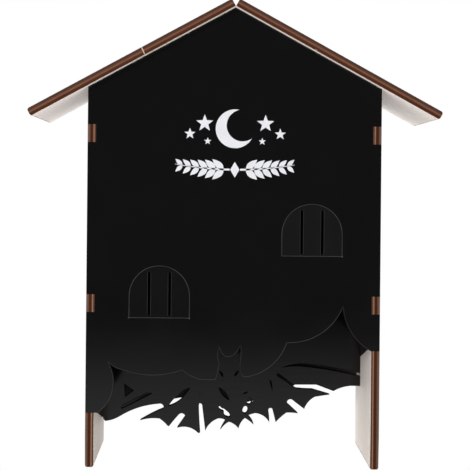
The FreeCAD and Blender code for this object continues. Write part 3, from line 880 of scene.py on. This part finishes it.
@dataclass
class FrontSheet(PlySheet):
    """Front panel, with pale rims along its cuts and the printed ornament."""

    inner: str = "dark_stain"
    scored: str = "score_line"
    lip: float = 0.03
    rounding: float = 0.1 * MM

    # Charred walls of the cuts lie inside these limits
    wall_reach: float = 139.5 * MM
    wall_top: float = 300 * MM

    # Windows: the pane's film and the middle of the sill; their slits, and the ends of the scored lines
    windows: tuple[tuple[str, float, float], ...] = (
        ("left_pane_film", -70.4 * MM, 143 * MM), ("right_pane_film", 74.6 * MM, 203 * MM))
    pane_half: float = 28.6 * MM
    pane_height: float = 50 * MM
    slit_aside: float = 9.8 * MM
    slit_reach: float = 2.6 * MM
    slit_foot: float = 3 * MM
    slit_top: float = 43 * MM
    dots: tuple[complex, ...] = (
        (-99.4 + 143.2j) * MM, (-41.6 + 143j) * MM, (103.5 + 203j) * MM)
    dot_radius: float = 0.75 * MM
    dot_sides: int = 12

    # Where the bat's silhouette ends: its top on the left and the right, its half width and its ears
    recess_top: Point = (125 * MM, 160 * MM)
    recess_half: float = 131 * MM
    ears_middle: float = -3 * MM
    ears_half: float = 12.5 * MM
    ears_foot: float = 97 * MM

    # Rims: size, and their painted highlight by the way that they face
    rim_width: float = 0.45 * MM
    rim_lift: float = 0.02 * MM
    gleam_level: float = 0.45
    gleam_down: float = 0.3
    gleam_right: float = 0.25
    ink: float = 0.05 * MM
    ornament: Ornament = field(default_factory=Ornament)

    def paint_faces(self) -> None:
        """Add the scored lines, charred walls, panes, rims, dots and print to the sheet's own finishes."""
        super().paint_faces()
        self.follow_grooves()
        self.dress_cuts()
        self.add_rims()
        level = min(vertex.co.y for vertex in self.mesh.verts) + self.rim_lift
        self.add_dots(level - 2 * self.rim_lift)
        self.print_ornament(level)

    def follow_grooves(self) -> None:
        """Give the floors of the scored lines and the small side faces next to them their finish."""
        reached = {face for face in self.mesh.faces
                   if self.wears(face, self.edge) and abs(face.normal.y) > self.facing}
        while reached:
            for face in reached:
                self.dress(face, self.scored)
            reached = {near for face in reached for edge in face.edges for near in edge.link_faces
                       if self.wears(near, self.edge) and self.depth_of(near) > self.lip}

    def dress_cuts(self) -> None:
        """Char the walls of the cuts, and give what lies within a window's outline its own film."""
        for face in self.mesh.faces:
            middle = face.calc_center_median()
            if self.wears(face, self.edge) and abs(middle.x) < self.wall_reach and middle.z < self.wall_top:
                self.dress(face, "charred_edge")
            for film, across, sill in self.windows:
                if self.wears(face, self.outer) and all(
                        abs(vertex.co.x - across) < self.pane_half
                        and sill < vertex.co.z < sill + self.pane_height for vertex in face.verts):
                    self.dress(face, film)

    def add_rims(self) -> None:
        """Lay a thin rim along every cut of the front face: a pale burnt film edge with a painted highlight
        by the way it faces.
        """
        mesh = self.mesh
        films = (self.outer, *(film for film, _, _ in self.windows))
        copied = bmesh.ops.duplicate(mesh, geom=[face for face in mesh.faces if self.wears(face, *films)])
        region = [item for item in copied["geom"] if isinstance(item, Face)]
        ring = bmesh.ops.inset_region(
            mesh, faces=region, thickness=self.rim_width, use_boundary=True)["faces"]
        kept = {face: rim for face in ring if (rim := self.rim_of(face.calc_center_median()))}
        gleam = mesh.verts.layers.float[DEPTH_AND_RIM_HIGHLIGHT_LAYER]
        for face, rim in kept.items():
            self.dress(face, rim)
            brink = next((edge for edge in face.edges if len(edge.link_faces) == 1), face.edges[0])
            middle = sum((vertex.co for vertex in brink.verts), Vector()) / 2
            outward = (middle - face.calc_center_median()).normalized()
            # Painted highlight: a rim is brighter where its outer side faces down or to the right, and darker
            # where it faces away
            level = self.gleam_level - self.gleam_down * outward.z + self.gleam_right * outward.x
            for vertex in face.verts:
                vertex[gleam] = min(1.0, max(0.0, level))
        bmesh.ops.delete(mesh, geom=[face for face in [*region, *ring] if face not in kept], context="FACES")
        rim_corners = list({vertex for face in kept for vertex in face.verts})
        bmesh.ops.translate(mesh, verts=rim_corners, vec=FRONT * self.rim_lift)

    def rim_of(self, middle: Vector) -> str | None:
        """Tell which rim a spot takes.

        Args:
            middle: a spot in a band along an edge of the front face.

        Returns:
            The finish: faint on a vent slit and round the ears, plain on the rest of the silhouette; both are
                a pale burnt film edge whose brightness is partly painted highlight.
        """
        for _, across, sill in self.windows:
            beside = abs(abs(middle.x - across) - self.slit_aside) < self.slit_reach
            if beside and sill + self.slit_foot < middle.z < sill + self.slit_top:
                return "faint_rim"
        if middle.z >= self.recess_top[middle.x > 0] or abs(middle.x) >= self.recess_half:
            return None
        ears = abs(middle.x - self.ears_middle) < self.ears_half and middle.z > self.ears_foot
        return "faint_rim" if ears else "rim_line"

    def add_dots(self, level: float) -> None:
        """Lay a small bright dot where a window's scored line starts or ends.

        Args:
            level: where the dots lie along Y.
        """
        gleam = self.mesh.verts.layers.float[DEPTH_AND_RIM_HIGHLIGHT_LAYER]
        for middle in self.dots:
            dot = self.add_face(arc(middle, self.dot_radius, 0.0, math.tau, self.dot_sides)[1:], level)
            self.dress(dot, "rim_line")
            for vertex in dot.verts:
                vertex[gleam] = 1.0

    def print_ornament(self, level: float) -> None:
        """Lay the ornament's ink on the front face.

        Args:
            level: where the front face lies along Y.
        """
        for outline in self.ornament.outlines():
            face = self.add_face(outline, level + self.ink)
            raised = bmesh.ops.extrude_face_region(self.mesh, geom=[face])["geom"]
            moved = [item for item in raised if isinstance(item, bmesh.types.BMVert)]
            bmesh.ops.translate(self.mesh, verts=moved, vec=FRONT * 2 * self.ink)
            for near in {near for vertex in (*moved, face.verts[0]) for near in vertex.link_faces}:
                self.dress(near, "white_ink")


@dataclass
class SideSheet(PlySheet):
    """Side board: its inner face is darker above a slanted line, where the box encloses it, and the leg stays
    pale.
    """

    # The leg's inner face: the pale film painted darker, as painted shade
    inner: str = "leg_film"
    darker_finish: str = "side_stain"
    # The darker part of the inner face lies above a line that starts near the front panel's lower corner and
    # slopes down towards the back
    darker_start: Point = (-54.5 * MM, 54.9 * MM)
    darker_slope: float = -0.275
    foot_height: float = 2.6 * MM
    foot_wear: float = 1.9 * MM

    def ease(self) -> None:
        """Round the foot's edges."""
        foot = [edge for edge in self.mesh.edges
                if all(vertex.co.z < self.foot_height for vertex in edge.verts)
                and edge.calc_face_angle(0) > self.crease
                and any(abs(face.normal.dot(self.toward)) > self.facing for face in edge.link_faces)]
        bmesh.ops.bevel(self.mesh, geom=foot, offset=self.foot_wear, segments=3, profile=0.5,
                        affect="EDGES", loop_slide=True)

    def paint_faces(self) -> None:
        """Part the inner face along the slanted lower limit of its darker part."""
        mesh = self.mesh
        start = Vector((0, *self.darker_start))
        across = Vector((0, -self.darker_slope, 1)).normalized()
        bmesh.ops.bisect_plane(mesh, geom=[*mesh.verts, *mesh.edges, *mesh.faces],
                               plane_co=start, plane_no=across)
        super().paint_faces()
        for face in mesh.faces:
            if self.wears(face, self.inner) and (face.calc_center_median() - start).dot(across) > 0:
                self.dress(face, self.darker_finish)


@dataclass
class RoofSheet(PlySheet):
    """Roof board, with the fine pale mark across its front edge."""

    toward: Vector = field(default_factory=lambda: UP.copy())
    edge: str = "roof_ply_edge"
    mark: tuple[complex, complex] = (0j, 0j)
    mark_width: float = 0.9 * MM
    mark_lift: float = 0.02 * MM

    # Rounding of the eave in the CAD, the worn rounding, and how much further the board reaches
    eave_radius: float = 0.8 * MM
    worn_radius: float = 2.4 * MM
    eave_growth: float = 1.9 * MM

    def ease(self) -> None:
        """Widen the roundings at the eave, and let it reach a little further out."""
        outward, top, bottom = self.sheet_axis()
        along = outward.cross(BACK)
        along *= -math.copysign(1.0, along.z)
        end = max(vertex.co.dot(along) for vertex in self.mesh.verts)
        slack = self.weld * 5
        grown = self.worn_radius / self.eave_radius - 1.0
        shift = self.eave_radius - self.worn_radius
        for axis, limit in ((outward, top), (-outward, -bottom)):
            for vertex in self.mesh.verts:
                reach = vertex.co.dot(along) - (end - self.eave_radius)
                rise = vertex.co.dot(axis) - (limit - self.eave_radius)
                if reach > -slack and rise > -slack:
                    vertex.co += along * (self.eave_growth + shift + grown * reach)
                    vertex.co += axis * (shift + grown * rise)

    def paint_faces(self) -> None:
        """Add the mark to the board's own finishes."""
        super().paint_faces()
        front = min(vertex.co.y for vertex in self.mesh.verts) - self.mark_lift
        start, end = self.mark
        aside = 1j * (end - start) / abs(end - start) * self.mark_width / 2
        self.dress(self.add_face([start - aside, start + aside, end + aside, end - aside], front), "hairline")


class BatBox:
    """The whole box, piece by piece."""

    def __init__(self) -> None:
        """Make every finish once."""
        shelf = EffectShelf()
        self.finishes = {finish.name: finish.make(shelf) for finish in FINISHES}

    def pieces(self) -> list[CadPiece]:
        """List every piece with its finish.

        Returns:
            The pieces, in the order that they are made.
        """
        finishes = self.finishes
        stained = {"slot": "stained_plywood", "outer": "stained_wood", "edge": "charred_edge"}
        sheets: list[CadPiece] = [
            FrontSheet("front_panel", finishes),
            SideSheet("left_side_panel", finishes, toward=LEFT),
            SideSheet("right_side_panel", finishes, toward=RIGHT, darker_start=(-54.5 * MM, 117.7 * MM)),
            RoofSheet("left_roof_board", finishes, mark=((-89 + 400j) * MM, (-86 + 393.4j) * MM)),
            RoofSheet("right_roof_board", finishes, mark=((76.4 + 399.4j) * MM, (75.4 + 397.6j) * MM)),
            PlySheet("bat_baffle", finishes, inner="stained_wood", **stained),
            PlySheet("back_panel", finishes, inner="inner_stain", toward=BACK, **stained),
        ]
        steel = [CadPiece(node, finishes, "zinc_steel", rounding=0.08 * MM)
                 for node in sorted(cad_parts) if "hanger" in node]
        return sheets + steel

    def build(self) -> None:
        """Make every piece."""
        for piece in self.pieces():
            piece.build()


@dataclass
class Studio:
    """Floor, light and camera."""

    # Floor: half width, front and back along Y, how far it lies under the feet, and its looks
    floor_reach: Triple = (6.0, -1.6, 8.0)
    floor_drop: float = 0.3 * MM
    floor_shades: tuple[Shade, Shade] = ((244, 244, 244), (248, 248, 248))
    floor_roughness: float = 0.9
    floor_specular: float = 0.1
    floor_glow: float = 0.42
    floor_lift: float = 0.7

    # How bright the floor looks in the box's gloss: at the box, how soon it fades, and far away
    mirror_gain: float = 0.73
    mirror_fade: float = 0.7
    mirror_rest: float = 0.045

    # World: light from the front and from the back, its lean to the left, the room in the gloss,
    # and where along Y the light and the gloss turn from one to the other
    ambient: float = 0.2
    backdrop: float = 1.3
    left_bias: float = 0.4
    room: float = 0.1
    light_turn: Point = (-0.7, -0.05)
    gloss_turn: Point = (-0.25, 0.1)

    key_power: float = 20.0
    key_size: float = 0.3
    key_place: Triple = (-0.55, -1.6, 1.25)
    target: Triple = (0.0, 0.0, 0.21)

    # The photograph's frame: the camera looks along +Y with a slight roll, the object off its axis
    eye: Triple = (-0.02493, -1.1355, 0.26926)
    roll: float = 0.0092
    lens: float = 86.93
    sensor: float = 36.0
    shift: Point = (0.0574, -0.1043)

    def build(self) -> None:
        """Set up the whole studio."""
        self.add_floor()
        self.add_world()
        self.add_key()
        self.add_camera()
        bpy.context.scene.view_settings.view_transform = "Standard"

    def add_floor(self) -> None:
        """Lay a pale floor under the feet."""
        half, front, back = self.floor_reach
        data = bpy.data.meshes.new("studio_floor")
        data.from_pydata([(-half, front, 0), (half, front, 0), (half, back, 0), (-half, back, 0)],
                         [], [range(4)])
        material = bpy.data.materials.new("pale_floor")
        material.use_nodes = True
        wire = Wiring(material.node_tree)
        shader = wire.own("BSDF_PRINCIPLED")
        wire.feed(shader.inputs["Base Color"], wire.blend(wire.noise(SPECK), *self.floor_shades))
        shader.inputs["Roughness"].default_value = self.floor_roughness
        shader.inputs["Specular IOR Level"].default_value = self.floor_specular
        glow = wire.add("Emission")
        wire.feed(glow.inputs["Strength"], self.floor_strength(wire))
        share = wire.math("MAXIMUM", wire.sight(), self.floor_glow)
        mixed = wire.join("MixShader", share, shader.outputs[0], glow.outputs[0])
        wire.feed(wire.own("OUTPUT_MATERIAL").inputs["Surface"], mixed)
        data.materials.append(material)
        floor = add_object("studio_floor", data)
        floor.location.z = -self.floor_drop

    def floor_strength(self, wire: Wiring) -> Socket:
        """Let the floor's mirror image fade towards the dim room in front.

        Args:
            wire: the floor material's wiring.

        Returns:
            The strength's socket: 1 for the camera, a little more for the light cast on the box.
        """
        ahead = wire.math("DIVIDE", wire.math("MINIMUM", wire.axis("Y"), 0.0), -self.mirror_fade)
        fade = wire.math("POWER", 1 / math.e, wire.times(ahead, ahead))
        fade = wire.plus(wire.times(fade, self.mirror_gain), self.mirror_rest)
        cast = wire.plus(1.0, wire.times(wire.ray("Diffuse"), self.floor_lift))
        return wire.between(wire.ray("Glossy"), cast, fade)

    def add_world(self) -> None:
        """Surround the box with soft light, a white backdrop and a dim room behind the camera."""
        world = bpy.data.worlds.new("studio")
        world.use_nodes = True
        bpy.context.scene.world = world
        world.node_tree.nodes.clear()
        wire = Wiring(world.node_tree)
        ahead = wire.axis("Y", "Generated")
        mirrored = wire.span(ahead, *self.gloss_turn, self.room)
        spread = wire.span(ahead, *self.light_turn, self.ambient, self.backdrop)
        lean = wire.times(wire.axis("X", "Generated"), self.left_bias)
        spread = wire.times(spread, wire.math("SUBTRACT", 1.0, lean))
        seen = wire.math("MAXIMUM", wire.ray("Camera"), mirrored)
        sky = wire.add("Background")
        sky.inputs["Color"].default_value = (1, 1, 1, 1)
        wire.feed(sky.inputs["Strength"], wire.between(wire.sight(), spread, seen))
        wire.feed(wire.add("OutputWorld").inputs["Surface"], sky.outputs[0])

    def add_key(self) -> None:
        """Hang the soft key lamp in front, a little to the left and above."""
        lamp = bpy.data.lights.new("key_lamp", "AREA")
        lamp.energy = self.key_power
        lamp.shape = "DISK"
        lamp.size = self.key_size
        key = add_object("key_lamp", lamp)
        key.location = self.key_place
        key.visible_glossy = False
        toward = Vector(self.target) - key.location
        key.rotation_euler = toward.to_track_quat("-Z", "Y").to_euler()

    def add_camera(self) -> None:
        """Place the camera at the photograph's viewpoint."""
        data = bpy.data.cameras.new("camera")
        data.lens = self.lens
        data.sensor_width = self.sensor
        data.shift_x, data.shift_y = self.shift
        camera = add_object("camera", data)
        ahead = Matrix.Rotation(math.pi / 2, 4, "X")
        camera.matrix_world = Matrix.Translation(self.eye) @ Matrix.Rotation(-self.roll, 4, "Y") @ ahead
        bpy.context.scene.camera = camera


def main() -> None:
    """Build the box and its studio."""
    logging.basicConfig(level=logging.INFO, format="%(name)s: %(message)s")
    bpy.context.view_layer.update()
    BatBox().build()
    Studio().build()


if __name__ == "__main__":
    main()
